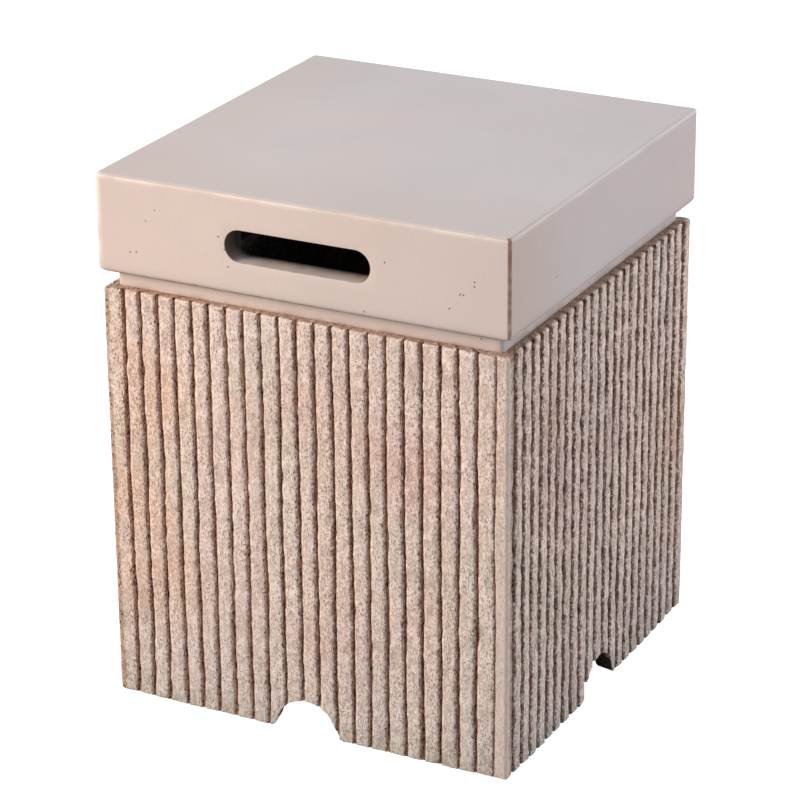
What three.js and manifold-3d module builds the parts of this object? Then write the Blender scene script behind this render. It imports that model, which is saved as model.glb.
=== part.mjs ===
// Propane tank cover table: a hollow ribbed body with a lift-off lid.
// Millimetres, +Z up. The origin is on the floor under the middle of the body.
// The handle slots face -Y and +Y, and a hose arch opens in the middle of every side.

import * as THREE from 'three';
import { mergeVertices } from 'three/addons/utils/BufferGeometryUtils.js';
import Module from 'manifold-3d';

const wasm = await Module();
wasm.setup();

// Driving dimensions of the lid, which stands out past the body on every side
const lidOverhang = 2;
const capHeight = 91;
const capWall = 22;
const capTopThickness = 24;
const capTopRadius = 3;
const capUnderRadius = 6;
const capCornerRadius = 4;
const stripInset = 12.5;
const stripHeight = 13.5;
const stripEdgeRadius = 2;
const stripCornerRadius = 5;

// The hollow of the lid, its inner flange and the ring that drops into the body's mouth
const hollowCornerRadius = 12;
const hollowTopRadius = 8;
const flangeThickness = 16;
const haunchHeight = 16;
const locatorDepth = 12;
const locatorWall = 14;
const locatorClearance = 4;
const locatorChamfer = 2;
const locatorCornerRadius = 12;

// Handle slot
const slotLength = 140;
const slotHeight = 29;
const slotBelowTop = 46;
const slotEdgeRadius = 2.5;

// Driving dimensions of the body
const bodyWidth = 396;
const bodyHeight = 396;
const bodyWall = 20;
const bodyCornerRadius = 7;
const cavityCornerRadius = 14;
const shoulderReach = 5;
const shoulderDrop = 4;
const toeRadius = 4.5;

// Grooves between the ribs, the same on all four sides
const groovesPerSide = 22;
const grooveMouth = 11.2;
const grooveThroat = 6;
const grooveFloor = 3.4;
const grooveLip = 2;
const grooveDepth = 6;
const postWidth = 13.2;          // from a corner of the body to the middle of the nearest groove

// Hose arch in the bottom edge of each side
const archRadius = 34;
const archHeight = 32;
const archToeRadius = 6;

// Rubber pads under the lid, and rubber feet
const seatPadLength = 40;
const seatPadWidth = 7.5;
const seatPadThickness = 1.2;
const seatPadOffset = 120;       // from the middle of the side to the middle of the pad
const seatGap = 0.3;
const footDiameter = 18;
const footThickness = 2;
const footInset = 16;            // from the faces of the body to the middle of the foot

// Modelling values
const overrun = 10;              // how far a cutter runs past what it cuts
const leastRadius = 0.5;
const cornerSteps = 5;
const edgeSteps = 3;
const arcSegments = 12;
const quarterTurn = Math.PI / 2;
const sides = [0, 1, 2, 3];

// Places that follow from the sizes above
const lidWidth = bodyWidth + 2 * lidOverhang;
const lidHalf = lidWidth / 2;
const stripHalf = lidHalf - stripInset;
const bodyHalf = bodyWidth / 2;
const cavityHalf = bodyHalf - bodyWall;
const hollowHalf = lidHalf - capWall;
const locatorHalf = cavityHalf - locatorClearance;
const bodyBase = footThickness;
const rimHeight = bodyBase + bodyHeight;
const lidSeat = rimHeight + seatPadThickness + seatGap;
const lidTop = stripHeight + capHeight;          // above the lid's seat
const groovePitch = (bodyWidth - 2 * postWidth) / (groovesPerSide - 1);

// A point turned round the Z axis by a number of quarter turns.
function turned(point, quarters) {
  return point.clone().rotateAround(new THREE.Vector2(), quarters * quarterTurn);
}

// A square with rounded corners, anticlockwise, centred on the Z axis.
function squareOutline(half, radius) {
  const round = Math.max(radius, leastRadius);
  const centre = half - round;
  const points = [];
  for (const side of sides) {
    for (let step = 0; step <= cornerSteps; step += 1) {
      const angle = (step / cornerSteps - 1) * quarterTurn;
      const point = new THREE.Vector2(centre + round * Math.cos(angle), round * Math.sin(angle) - centre);
      points.push(turned(point, side));
    }
  }
  return points;
}

// A slot with half-round ends, anticlockwise, grown outwards by a margin.
function slotOutline(margin) {
  const radius = slotHeight / 2 + margin;
  const reach = (slotLength - slotHeight) / 2;
  const points = [];
  for (const end of [1, -1]) {
    for (let step = 0; step <= arcSegments; step += 1) {
      const angle = -quarterTurn + (step / arcSegments) * Math.PI;
      points.push(new THREE.Vector2(reach + radius * Math.cos(angle), radius * Math.sin(angle))
        .multiplyScalar(end));
    }
  }
  return points;
}

// Levels of a rounded lower edge, from its underside up: how far each stands in, and its height.
function lowerEdge(z, reach, rise) {
  const levels = [];
  for (let step = 0; step <= edgeSteps; step += 1) {
    const angle = (step / edgeSteps) * quarterTurn;
    levels.push({ z: z + rise * (1 - Math.cos(angle)), inset: reach * (1 - Math.sin(angle)) });
  }
  return levels;
}

// Levels of a rounded upper edge, from the wall up to its top.
function upperEdge(z, reach, drop) {
  const levels = [];
  for (let step = 0; step <= edgeSteps; step += 1) {
    const angle = (step / edgeSteps) * quarterTurn;
    levels.push({ z: z - drop * (1 - Math.sin(angle)), inset: reach * (1 - Math.cos(angle)) });
  }
  return levels;
}

// A closed skin through a stack of outlines that all have the same number of points.
function loft(levels) {
  const count = levels[0].points.length;
  const positions = [];
  const index = [];
  for (const level of levels) {
    for (const point of level.points) {
      positions.push(point.x, point.y, level.z);
    }
  }
  for (let row = 0; row < levels.length - 1; row += 1) {
    for (let i = 0; i < count; i += 1) {
      const next = (i + 1) % count;
      const low = row * count;
      const high = low + count;
      index.push(low + i, low + next, high + next, low + i, high + next, high + i);
    }
  }
  const top = (levels.length - 1) * count;
  for (const [a, b, c] of THREE.ShapeUtils.triangulateShape(levels[0].points, [])) {
    index.push(a, c, b);
  }
  for (const [a, b, c] of THREE.ShapeUtils.triangulateShape(levels[levels.length - 1].points, [])) {
    index.push(top + a, top + b, top + c);
  }
  const geometry = new THREE.BufferGeometry();
  geometry.setAttribute('position', new THREE.Float32BufferAttribute(positions, 3));
  geometry.setIndex(index);
  return geometry;
}

// Geometry to a solid, and a solid back to geometry
function solid(geometry) {
  const bare = geometry.clone();
  bare.deleteAttribute('normal');
  bare.deleteAttribute('uv');
  const merged = mergeVertices(bare);
  return new wasm.Manifold(new wasm.Mesh({
    numProp: 3,
    vertProperties: new Float32Array(merged.attributes.position.array),
    triVerts: new Uint32Array(merged.index.array),
  }));
}

function surface(body) {
  const mesh = body.getMesh();
  const geometry = new THREE.BufferGeometry();
  geometry.setAttribute('position', new THREE.BufferAttribute(mesh.vertProperties, 3));
  geometry.setIndex(new THREE.BufferAttribute(mesh.triVerts, 1));
  geometry.computeVertexNormals();
  return geometry;
}

// The ribbed outline of the body, anticlockwise. Every point lies at least the inset inside the
// crests of the ribs, so the grooves run out where a rounded edge has passed their floor.
function ribbedOutline(inset) {
  const section = [
    [-grooveMouth / 2, 0],
    [-grooveThroat / 2, grooveLip],
    [-grooveFloor / 2, grooveDepth],
    [grooveFloor / 2, grooveDepth],
    [grooveThroat / 2, grooveLip],
    [grooveMouth / 2, 0],
  ];
  const round = Math.min(bodyCornerRadius, postWidth - grooveMouth / 2);
  const radius = Math.max(round - inset, leastRadius);
  const centre = bodyHalf - round;
  const side = [];
  for (let groove = 0; groove < groovesPerSide; groove += 1) {
    const middle = postWidth - bodyHalf + groove * groovePitch;
    for (const [across, depth] of section) {
      side.push(new THREE.Vector2(middle + across, Math.max(depth, inset) - bodyHalf));
    }
  }
  for (let step = 0; step <= cornerSteps; step += 1) {
    const angle = (step / cornerSteps - 1) * quarterTurn;
    side.push(new THREE.Vector2(centre + radius * Math.cos(angle), radius * Math.sin(angle) - centre));
  }
  return sides.flatMap((turn) => side.map((point) => turned(point, turn)));
}

// The section of the hose tunnel: a round arch whose feet flare out to the floor.
function archShape() {
  const centre = archHeight - archRadius;
  const toe = Math.sqrt((archRadius + archToeRadius) ** 2 - (archToeRadius - centre) ** 2);
  const touch = Math.atan2(archToeRadius - centre, toe);
  const shape = new THREE.Shape();
  shape.moveTo(toe, -overrun);
  shape.lineTo(toe, 0);
  shape.absarc(toe, archToeRadius, archToeRadius, -quarterTurn, touch - Math.PI, true);
  shape.absarc(0, centre, archRadius, touch, Math.PI - touch, false);
  shape.absarc(-toe, archToeRadius, archToeRadius, -touch, -quarterTurn, true);
  shape.lineTo(-toe, -overrun);
  shape.closePath();
  return shape;
}

function bodyShell() {
  const toe = lowerEdge(0, toeRadius, toeRadius);
  const shoulder = upperEdge(bodyHeight, shoulderReach, shoulderDrop);
  const outer = loft([...toe, ...shoulder].map(({ z, inset }) => ({ z, points: ribbedOutline(inset) })));
  const inside = squareOutline(cavityHalf, cavityCornerRadius);
  const cavity = loft([{ z: -overrun, points: inside }, { z: bodyHeight + overrun, points: inside }]);
  const reach = bodyWidth + 2 * overrun;
  const tunnel = new THREE.ExtrudeGeometry(archShape(), {
    depth: reach,
    bevelEnabled: false,
    curveSegments: arcSegments,
  });
  tunnel.rotateX(quarterTurn);
  tunnel.translate(0, reach / 2, 0);
  const crossTunnel = tunnel.clone().rotateZ(quarterTurn);
  const casting = solid(outer).subtract(solid(cavity));
  return surface(casting.subtract(solid(tunnel)).subtract(solid(crossTunnel)));
}

// The outside of the lid: locating ring, shadow strip and cap. Heights are above the lid's seat.
function lidOutside() {
  const levels = [
    { z: -locatorDepth, half: locatorHalf - locatorChamfer, corner: locatorCornerRadius - locatorChamfer },
    { z: locatorChamfer - locatorDepth, half: locatorHalf, corner: locatorCornerRadius },
    { z: 0, half: locatorHalf, corner: locatorCornerRadius },
  ];
  for (const { z, inset } of lowerEdge(0, stripEdgeRadius, stripEdgeRadius)) {
    levels.push({ z, half: stripHalf - inset, corner: stripCornerRadius - inset });
  }
  levels.push({ z: stripHeight, half: stripHalf, corner: stripCornerRadius });
  for (const { z, inset } of lowerEdge(stripHeight, capUnderRadius, capUnderRadius)) {
    levels.push({ z, half: lidHalf - inset, corner: capCornerRadius - inset });
  }
  for (const { z, inset } of upperEdge(lidTop, capTopRadius, capTopRadius)) {
    levels.push({ z, half: lidHalf - inset, corner: capCornerRadius - inset });
  }
  return loft(levels.map(({ z, half, corner }) => ({ z, points: squareOutline(half, corner) })));
}

// The hollow of the lid: narrow through the flange, then widening to the cap's walls.
function lidHollow() {
  const mouthHalf = locatorHalf - locatorWall;
  const ceiling = lidTop - capTopThickness;
  const levels = [
    { z: -locatorDepth - overrun, half: mouthHalf },
    { z: flangeThickness, half: mouthHalf },
    { z: flangeThickness + haunchHeight, half: hollowHalf },
  ];
  for (const { z, inset } of upperEdge(ceiling, hollowTopRadius, hollowTopRadius)) {
    levels.push({ z, half: hollowHalf - inset });
  }
  return loft(levels.map(({ z, half }) => ({ z, points: squareOutline(half, hollowCornerRadius) })));
}

// The cutter of one handle slot, in the front wall: its outer edge is rounded over.
function slotCutter() {
  const levels = lowerEdge(0, slotEdgeRadius, slotEdgeRadius).map(({ z, inset }) => ({
    z,
    points: slotOutline(inset),
  }));
  levels.unshift({ z: -overrun, points: slotOutline(slotEdgeRadius) });
  levels.push({ z: capWall + overrun, points: slotOutline(0) });
  const cutter = loft(levels);
  cutter.rotateX(-quarterTurn);
  cutter.translate(0, -lidHalf, lidTop - slotBelowTop);
  return cutter;
}

function lid() {
  const frontSlot = slotCutter();
  const backSlot = frontSlot.clone().rotateZ(2 * quarterTurn);
  const casting = solid(lidOutside()).subtract(solid(lidHollow()));
  return surface(casting.subtract(solid(frontSlot)).subtract(solid(backSlot)));
}

// A strip of rubber with half-round ends, lying on the body's rim
function seatPad() {
  const radius = seatPadWidth / 2;
  const reach = seatPadLength / 2 - radius;
  const shape = new THREE.Shape();
  shape.absarc(reach, 0, radius, -quarterTurn, quarterTurn, false);
  shape.absarc(-reach, 0, radius, quarterTurn, 3 * quarterTurn, false);
  shape.closePath();
  return new THREE.ExtrudeGeometry(shape, {
    depth: seatPadThickness,
    bevelEnabled: false,
    curveSegments: cornerSteps,
  });
}

function footPad() {
  const radius = footDiameter / 2;
  const foot = new THREE.CylinderGeometry(radius, radius, footThickness, 2 * arcSegments);
  foot.rotateX(quarterTurn);
  foot.translate(0, 0, footThickness / 2);
  return foot;
}

// Finishes
function ribbedStone() {
  return new THREE.MeshStandardMaterial({ color: 0xc9ae9f, roughness: 0.92, metalness: 0 });
}

function smoothStone() {
  return new THREE.MeshStandardMaterial({ color: 0xd9c2b4, roughness: 0.62, metalness: 0 });
}

function blackRubber() {
  return new THREE.MeshStandardMaterial({ color: 0x1c1a19, roughness: 0.85, metalness: 0 });
}

function piece(name, geometry, material) {
  const mesh = new THREE.Mesh(geometry, material);
  mesh.name = name;
  return mesh;
}

// Assembly
const group = new THREE.Group();

const shell = piece('body_shell', bodyShell(), ribbedStone());
shell.position.z = bodyBase;
group.add(shell);

// A pad lies at either end of the front and back rims, under the lid's strip.
const padLine = (cavityHalf + stripHalf) / 2;
const padPlaces = [[-1, -1], [1, -1], [1, 1], [-1, 1]];
padPlaces.forEach(([across, along], i) => {
  const pad = piece(`seat_pad_${i + 1}`, seatPad(), blackRubber());
  pad.position.set(across * seatPadOffset, along * padLine, rimHeight);
  group.add(pad);

  const foot = piece(`foot_pad_${i + 1}`, footPad(), blackRubber());
  foot.position.set(across * (bodyHalf - footInset), along * (bodyHalf - footInset), 0);
  group.add(foot);
});

const cover = piece('lid', lid(), smoothStone());
cover.position.z = lidSeat;
group.add(cover);

export default group;
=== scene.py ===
# %% [markdown]
# A square side table that hides a propane cylinder: a ribbed body of rough cast stone under a smooth lid.
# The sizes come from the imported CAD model. Blender adds what the mould and the hand left on the real one:
# grooves that aren't quite evenly spaced, ragged ribs, sandy grain, worn edges, and the brown wash that
# was rubbed into the grooves.
# %% Load the frame
from math import cos, pi, radians, sin, sqrt

import bmesh
import bpy
import numpy as np
from mathutils import Matrix, Vector


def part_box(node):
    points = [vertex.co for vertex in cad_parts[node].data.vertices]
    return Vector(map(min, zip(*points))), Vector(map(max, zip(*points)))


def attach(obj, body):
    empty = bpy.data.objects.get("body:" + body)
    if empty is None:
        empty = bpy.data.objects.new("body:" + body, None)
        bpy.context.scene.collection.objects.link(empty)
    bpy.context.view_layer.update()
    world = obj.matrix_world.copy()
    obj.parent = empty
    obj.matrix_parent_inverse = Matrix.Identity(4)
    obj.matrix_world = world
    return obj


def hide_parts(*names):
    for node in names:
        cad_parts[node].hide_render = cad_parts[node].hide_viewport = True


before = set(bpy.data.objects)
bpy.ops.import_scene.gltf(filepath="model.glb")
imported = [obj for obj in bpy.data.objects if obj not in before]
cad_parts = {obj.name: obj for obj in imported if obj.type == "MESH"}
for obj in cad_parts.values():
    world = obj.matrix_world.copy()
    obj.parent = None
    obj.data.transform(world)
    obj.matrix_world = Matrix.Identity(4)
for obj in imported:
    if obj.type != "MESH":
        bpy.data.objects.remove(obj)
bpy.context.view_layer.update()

# %% [markdown]
# Both castings are surfaces worked out as whole arrays. Everything is computed in millimetres, because
# the numbers are easier to picture, and one helper turns the points into a mesh in metres.
# %% Mesh from arrays
def wrapped_quads(rows, columns, close_rows):
    """Corner numbers of the quads of a grid: (r, c), (r, c+1), (r+1, c+1), (r+1, c).
    Columns always wrap round; rows wrap too where the section is a closed loop."""
    r = np.arange(rows if close_rows else rows - 1)[:, None]
    c = np.arange(columns)[None, :]
    up, along = (r + 1) % rows, (c + 1) % columns
    corners = [r * columns + c, r * columns + along, up * columns + along, up * columns + c]
    return np.stack(corners, axis=-1).reshape(-1, 4)


def add_piece(name, points, quads, triangles, values, sharp_angle):
    """Mesh object from arrays. Unused points are dropped, the faces are turned outwards, and each
    named value becomes a point attribute that the material can read."""
    triangles = np.asarray(triangles, int).reshape(-1, 3)
    corners = np.concatenate([quads.ravel(), triangles.ravel()])
    used, corners = np.unique(corners, return_inverse=True)
    starts = np.concatenate([4 * np.arange(len(quads)), 4 * len(quads) + 3 * np.arange(len(triangles))])
    mesh = bpy.data.meshes.new(name)
    mesh.vertices.add(len(used))
    mesh.vertices.foreach_set("co", (points[used] / 1000).astype(np.float32).ravel())
    mesh.loops.add(len(corners))
    mesh.loops.foreach_set("vertex_index", corners.astype(np.int32).ravel())
    mesh.polygons.add(len(starts))
    mesh.polygons.foreach_set("loop_start", starts.astype(np.int32))
    mesh.update(calc_edges=True)
    for key, value in values.items():
        attribute = mesh.attributes.new(key, "FLOAT", "POINT")
        attribute.data.foreach_set("value", value[used].astype(np.float32))
    shell = bmesh.new()
    shell.from_mesh(mesh)
    bmesh.ops.recalc_face_normals(shell, faces=shell.faces)
    open_edges = sum(1 for edge in shell.edges if len(edge.link_faces) != 2)
    volume = shell.calc_volume(signed=True) * 1000
    shell.to_mesh(mesh)
    shell.free()
    mesh.shade_smooth()
    mesh.set_sharp_from_angle(angle=radians(sharp_angle))
    piece = bpy.data.objects.new(name, mesh)
    bpy.context.scene.collection.objects.link(piece)
    count = 2 * len(quads) + len(triangles)
    print(f"{name}: {count} triangles, {open_edges} open edges, {volume:.2f} litres")
    return piece


# %% [markdown]
# Nothing on a hand-cast piece is straight. Two kinds of smooth randomness are enough for that: a wander
# along one line, for a groove's edge, and a field over a surface, for its slow hollows and swells.
# %% Seeded wander and fields
def ease(t):
    """3t^2 - 2t^3: leaves and arrives level."""
    return t * t * (3 - 2 * t)


def rising(value, start, end):
    """0 up to the start and 1 past the end, eased in between."""
    return ease(np.clip((value - start) / (end - start), 0, 1))


def wander(place, stream, cell, seed):
    """Random numbers from -1 to 1 stand a cell apart on each stream; the value eases from one to the
    next. Place is in millimetres, and stream is the number of the line that a point belongs to."""
    numbers = np.random.default_rng(seed).uniform(-1, 1, (int(np.max(stream)) + 1, int(2000 / cell) + 3))
    at = np.clip(place, 0, 1990) / cell
    low = np.floor(at).astype(int)
    mix = ease(at - low)
    return numbers[stream, low] * (1 - mix) + numbers[stream, low + 1] * mix


def field(along, height, cell_along, cell_height, seed):
    """The same in two directions: four random corners of a cell, eased both ways."""
    row = np.floor(np.clip(height, 0, 1990) / cell_height).astype(int)
    mix = ease(np.clip(height, 0, 1990) / cell_height - row)
    low = wander(along, row, cell_along, seed)
    high = wander(along, row + 1, cell_along, seed)
    return low * (1 - mix) + high * mix


print(f"a quarter of the way along, ease has climbed {ease(0.25):.2f}")

# %% [markdown]
# The body has 22 grooves a side between 21 ribs and two corner posts. The ribs are flattened rounds, about
# as wide as a finger. On the real one every side is set out a little differently, so each has posts of its
# own width, and the ribs share what is left. Each column of the grid belongs to one rib or post and stands
# at a fixed share of the way across it, so that the grid follows a groove's ragged edge instead of cutting
# across it. The two ribs that meet the feet of the arch get more columns: the arch is steepest there.
# %% Columns round the body
body_low, body_high = [np.array(corner) * 1000 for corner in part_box("body_shell")]
body_half = body_high[0]
body_base, body_rim = body_low[2], body_high[2]
front, right, back, left = range(4)
grooves, corner_radius = 22, 5.0
left_post = np.array([20.4, 15.6, 14.0, 17.5])[:, None]
right_post = np.array([13.6, 18.0, 16.0, 14.5])[:, None]
step_share = np.linspace(0, 1, grooves)
groove_middle = (left_post - body_half) * (1 - step_share) + (body_half - right_post) * step_share
flat_end = body_half - corner_radius
arch_ribs = (8, 12)
post_stops = np.array([0, 0.4, 0.72, 0.93, 1])
corner_angles = -90 + 90 * np.arange(1, 6) / 6


def rib_stops(count):
    """Places across a rib from -1 to 1. The sine of even steps crowds them on the flanks, and the power
    crowds them further, so that a flat crest ends in a narrow shoulder."""
    stops = np.sin(np.linspace(-pi / 2, pi / 2, count))
    return np.sign(stops) * (1 - (1 - np.abs(stops)) ** 1.35)


def side_columns():
    """One side from left to right: the share q across its rib or post, how far e it is from the middle of
    the rib towards a groove, the grooves on its left and right (-1 for the corner), and a corner angle."""
    post = [(q, q, -1, 0, np.nan) for q in post_stops]
    ribs = [((p + 1) / 2, abs(p), rib, rib + 1, np.nan)
            for rib in range(grooves - 1) for p in rib_stops(16 if rib in arch_ribs else 10)]
    last_post = [(1 - q, q, grooves - 1, -1, np.nan) for q in post_stops[::-1]]
    arc = [(0, 0, -1, -1, radians(angle)) for angle in corner_angles]
    return np.array(post + ribs + last_post + arc)


one_side = side_columns()
column = np.tile(one_side, (4, 1))
side_of = np.repeat(np.arange(4), len(one_side))
share, edge_share, groove_left, groove_right, corner_angle = column.T
on_corner = ~np.isnan(corner_angle)


def by_side(*values, sides=side_of):
    """The value of every column's own side, from one for the front, the right, the back and the left."""
    return np.array(values)[sides]


print(f"{len(column)} columns, rib pitch {np.diff(groove_middle, axis=1).mean():.2f} mm")

# %% [markdown]
# Each groove has its own wandering edges. A rib's foot stands at the middle of its groove plus or minus
# half the floor, moved by a slow lean, by a wave a few centimetres long and by a ragged edge.
# %% Edges of the grooves
floor_half = by_side(1.6, 2.5, 1.8, 1.8)


def strength(number):
    """1 for every groove but the last one of the front, which the stone nearly closed."""
    return np.where((side_of == front) & (number == grooves - 1), 0.45, 1.0)


def foot_line(which, direction, z, seed):
    """Where the foot of a rib stands at height z, to the right of its groove (1) or to the left (-1)."""
    number = np.clip(which, 0, None).astype(int)
    stream = np.broadcast_to(side_of * grooves + number, z.shape)
    lean = 0.7 * wander(z, stream, 75, 21)
    wave = 0.5 * wander(z, stream, 27, seed)
    rough = 0.35 * wander(z, stream, 9, seed + 1) + 0.4 * wander(z, stream, 4.6, seed + 2)
    half = np.clip((floor_half + wave + rough) * strength(number), 0.5, None)
    foot = groove_middle[side_of, number] + lean + direction * half
    return np.where(which < 0, -direction * flat_end, foot)


def across_at(z):
    """Place of every column along its side at height z."""
    return foot_line(groove_left, 1, z, 41) * (1 - share) + foot_line(groove_right, -1, z, 51) * share


low_across = np.where(on_corner, flat_end, across_at(np.full((1, len(column)), body_base + 12))[0])
outline_place = low_across + body_half + 2 * body_half * side_of
print(f"unrolled, the outline ends at {outline_place.max():.0f} mm")

# %% [markdown]
# The hose arch is part of the lower edge, not a cut: the lowest row of the grid simply rises over it. That
# keeps the edge crisp and the mesh closed, and costs nothing. Away from the corners the edge also sags by
# about a millimetre, most on the right side.
# %% Lower edge with its arch
arch_radius, arch_height, arch_toe = 31.0, 31.0, 8.0
arch_middle = by_side(-1.5, 2.0, 0.0, 0.0)


def lower_edge(x):
    """Height of the lower edge above the body's base: the circle of the arch, its flared foot, then flat."""
    centre = arch_height - arch_radius
    foot = sqrt((arch_radius + arch_toe) ** 2 - (arch_toe - centre) ** 2)
    touch = foot * arch_radius / (arch_radius + arch_toe)
    x = np.abs(x)
    circle = centre + np.sqrt(np.clip(arch_radius ** 2 - x ** 2, 0, None))
    flare = arch_toe - np.sqrt(np.clip(arch_toe ** 2 - (foot - x) ** 2, 0, None))
    return np.where(x < touch, circle, np.where(x < foot, flare, 0.0))


edge_rise = lower_edge(low_across - arch_middle)
sag = by_side(0.6, 1.7, 0.6, 0.6) * rising(flat_end - 22 - np.abs(low_across), 0, 25)
lowest = body_base + edge_rise - sag * (1 - edge_rise / arch_height)
beside_arch = rising(np.abs(low_across), 36, 46)
toe_radius = 1.2 + 0.6 * beside_arch
print(f"lower edge from {lowest.min():.1f} to {lowest.max():.1f} mm")

# %% [markdown]
# Rows climb the outside, go over the rounded shoulder and the rim, and come down the inside, so the
# section of the wall is one closed loop. Most rows are on the outside, where the ribs are.
# %% Rows of the wall
shoulder_reach, shoulder_drop, wall, wall_rows = 2.6, 3.0, 20.0, 87
toe_turn = np.radians([0, 30, 60, 90])[:, None]
toe_height = lowest + toe_radius * (1 - np.cos(toe_turn))
toe_inset = toe_radius * (1 - np.sin(toe_turn))

ragged = wander(outline_place, 0, 5, 11)
shoulder_start = body_rim - shoulder_drop + 1.0 * ragged
wall_steps = (np.arange(1, wall_rows + 1) / wall_rows)[:, None]
wall_height = toe_height[-1] * (1 - wall_steps) + shoulder_start * wall_steps

shoulder_turn = np.radians([15, 32, 50, 66, 79, 90])[:, None]
shoulder_height = shoulder_start + (body_rim - shoulder_start) * np.sin(shoulder_turn)
shoulder_inset = np.broadcast_to(shoulder_reach * (1 - np.cos(shoulder_turn)), shoulder_height.shape)

height = np.concatenate([toe_height, wall_height, shoulder_height])
inset = np.concatenate([toe_inset, np.zeros_like(wall_height), shoulder_inset])
across = across_at(height)
toe_rows, shoulder_rows = len(toe_turn), len(shoulder_turn)


def along_rows(low=(), high=()):
    """A factor for every row outside: the low ones from the base up, then ones, then the high ones."""
    return np.concatenate([low, np.ones(len(height) - len(low) - len(high)), high])[:, None]


print(f"{len(height)} rows outside, one every {(body_rim - body_base) / wall_rows:.1f} mm")

# %% [markdown]
# The section of a rib is a superellipse: flat on top with round shoulders. Its grooves have an uneven
# depth, now and then a place where the stone has bridged one, and shallower ends at the foot and the rim.
# On the right side they run out sooner under the rim, and keep more of their depth at the foot.
# %% Ribs and grooves
roundness = by_side(8.0, 6.0, 7.0, 7.0)
full_depth = 6.0


def groove_depth(which):
    """Depth of the groove at each height: about 6 mm, a little uneven, less where the stone bridges it."""
    number = np.clip(which, 0, None).astype(int)
    stream = np.broadcast_to(side_of * grooves + number, height.shape)
    uneven = full_depth + 0.5 * wander(height, stream, 30, 31)
    bridge = np.clip(wander(height, stream, 12, 33) - 0.84, 0, None) / 0.16
    return np.where(which < 0, full_depth, uneven * (1 - 0.6 * bridge) * strength(number))


depth = groove_depth(groove_left) * (1 - share) + groove_depth(groove_right) * share
depth = np.where(groove_left < 0, groove_depth(groove_right), depth)
depth = np.where(groove_right < 0, groove_depth(groove_left), depth)
rib_profile = 1 - (1 - edge_share ** roundness) ** (1 / roundness)
runs_out = along_rows(high=np.linspace(1, 0.7, shoulder_rows))
runs_out_early = along_rows(high=[0.9, 0.75, *np.linspace(0.6, 0.2, shoulder_rows)])
runs_out = np.where(side_of == right, runs_out_early, runs_out)
shallow_foot = along_rows(low=[0.35, 0.38, 0.42, 0.5, 0.65, 0.8, 0.92])
shallow_foot = np.where(side_of == right, 0.25 + 0.75 * shallow_foot ** 0.5, shallow_foot)
full_groove = np.where(on_corner, 0, depth * rib_profile)
groove = full_groove * runs_out * shallow_foot
print(f"groove depth {depth.min():.1f} to {depth.max():.1f} mm")

# %% [markdown]
# The crests are not flat either. They swell and sink by half a millimetre, pits and single grains break
# the skin, and a flake is missing here and there. All of it goes inwards from the CAD face, so the piece
# never grows out of its box.
# %% Outer face
place = np.broadcast_to(outline_place, height.shape)
swell = 0.22 * (1 + field(place, height, 19, 27, 61))
pits = 0.46 * (1 + field(place, height, 3.3, 6.5, 62))
grit = 0.35 * np.random.default_rng(63).uniform(0, 1, height.shape)
flakes = 2.2 * np.clip(field(place, height, 8, 13, 64) - 0.45, 0, None)
on_wall = along_rows(high=np.linspace(0.9, 0.2, shoulder_rows))
rough_skin = np.where(on_corner, 0.6, 1.0) * (swell + pits + grit + flakes) * on_wall
offset = (groove ** 4 + inset ** 4) ** 0.25 + rough_skin


def placed(local_x, local_y, z, sides):
    """Points of all four sides: side k is the front side turned k quarter turns about the Z axis."""
    turn = sides * pi / 2
    return np.stack([local_x * np.cos(turn) - local_y * np.sin(turn),
                     local_x * np.sin(turn) + local_y * np.cos(turn),
                     np.broadcast_to(z, local_x.shape)], axis=-1)


def rounded_square(half, radius, local_across, inwards, angle):
    """Flat columns, whose angle is nan, stand on the side at their place across. Corner columns stand on
    the corner's arc at their angle. All of them move inwards."""
    on_arc, angle = ~np.isnan(angle), np.nan_to_num(angle)
    bend = np.clip(radius - inwards, 0.3, None)
    x = np.where(on_arc, half - radius + bend * np.cos(angle), local_across)
    y = np.where(on_arc, radius - half + bend * np.sin(angle), inwards - half)
    return x, y


outer_x, outer_y = rounded_square(body_half, corner_radius, across, offset, corner_angle)
outer = placed(outer_x, outer_y, height, side_of)
print(f"skin up to {rough_skin.max():.1f} mm deep")

# %% [markdown]
# The inside is plain. Its columns keep their places near the arches, so that the arch goes through the
# wall and widens a little inwards, which lets such a casting slip off its core. Towards the corners they
# are squeezed.
# %% Rim, inside and underside
cavity_half, cavity_corner = body_half - wall, 14.0
inner_end = cavity_half - cavity_corner
outer_stops = [0, arch_radius, 60, flat_end]
inner_stops = [0, arch_radius + 4, 62, inner_end]
inner_across = np.sign(low_across) * np.interp(np.abs(low_across), outer_stops, inner_stops)


def inner_row(inwards, z):
    """A row on the cavity's wall, or set back into the stone where inwards is negative."""
    inwards = np.full(len(column), inwards)
    x, y = rounded_square(cavity_half, cavity_corner, inner_across, inwards, corner_angle)
    return placed(x, y, z, side_of)


rim_height = np.full(len(column), body_rim)
inner_rim = inner_row(-1.5, rim_height)
rim_middle = (outer[-1] + inner_rim) / 2
down = [inner_row(0, lowest * t + (rim_height - 1.5) * (1 - t)) for t in (0, 0.2, 0.5, 0.8)]
inner_foot = [inner_row(0, lowest + 1.5), inner_row(-1.5, lowest)]
inside = np.stack([rim_middle, inner_rim] + down + inner_foot)
body_points = np.concatenate([outer, inside]).reshape(-1, 3)
body_rows = len(outer) + len(inside)
print(f"{body_rows} rows in all")

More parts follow.
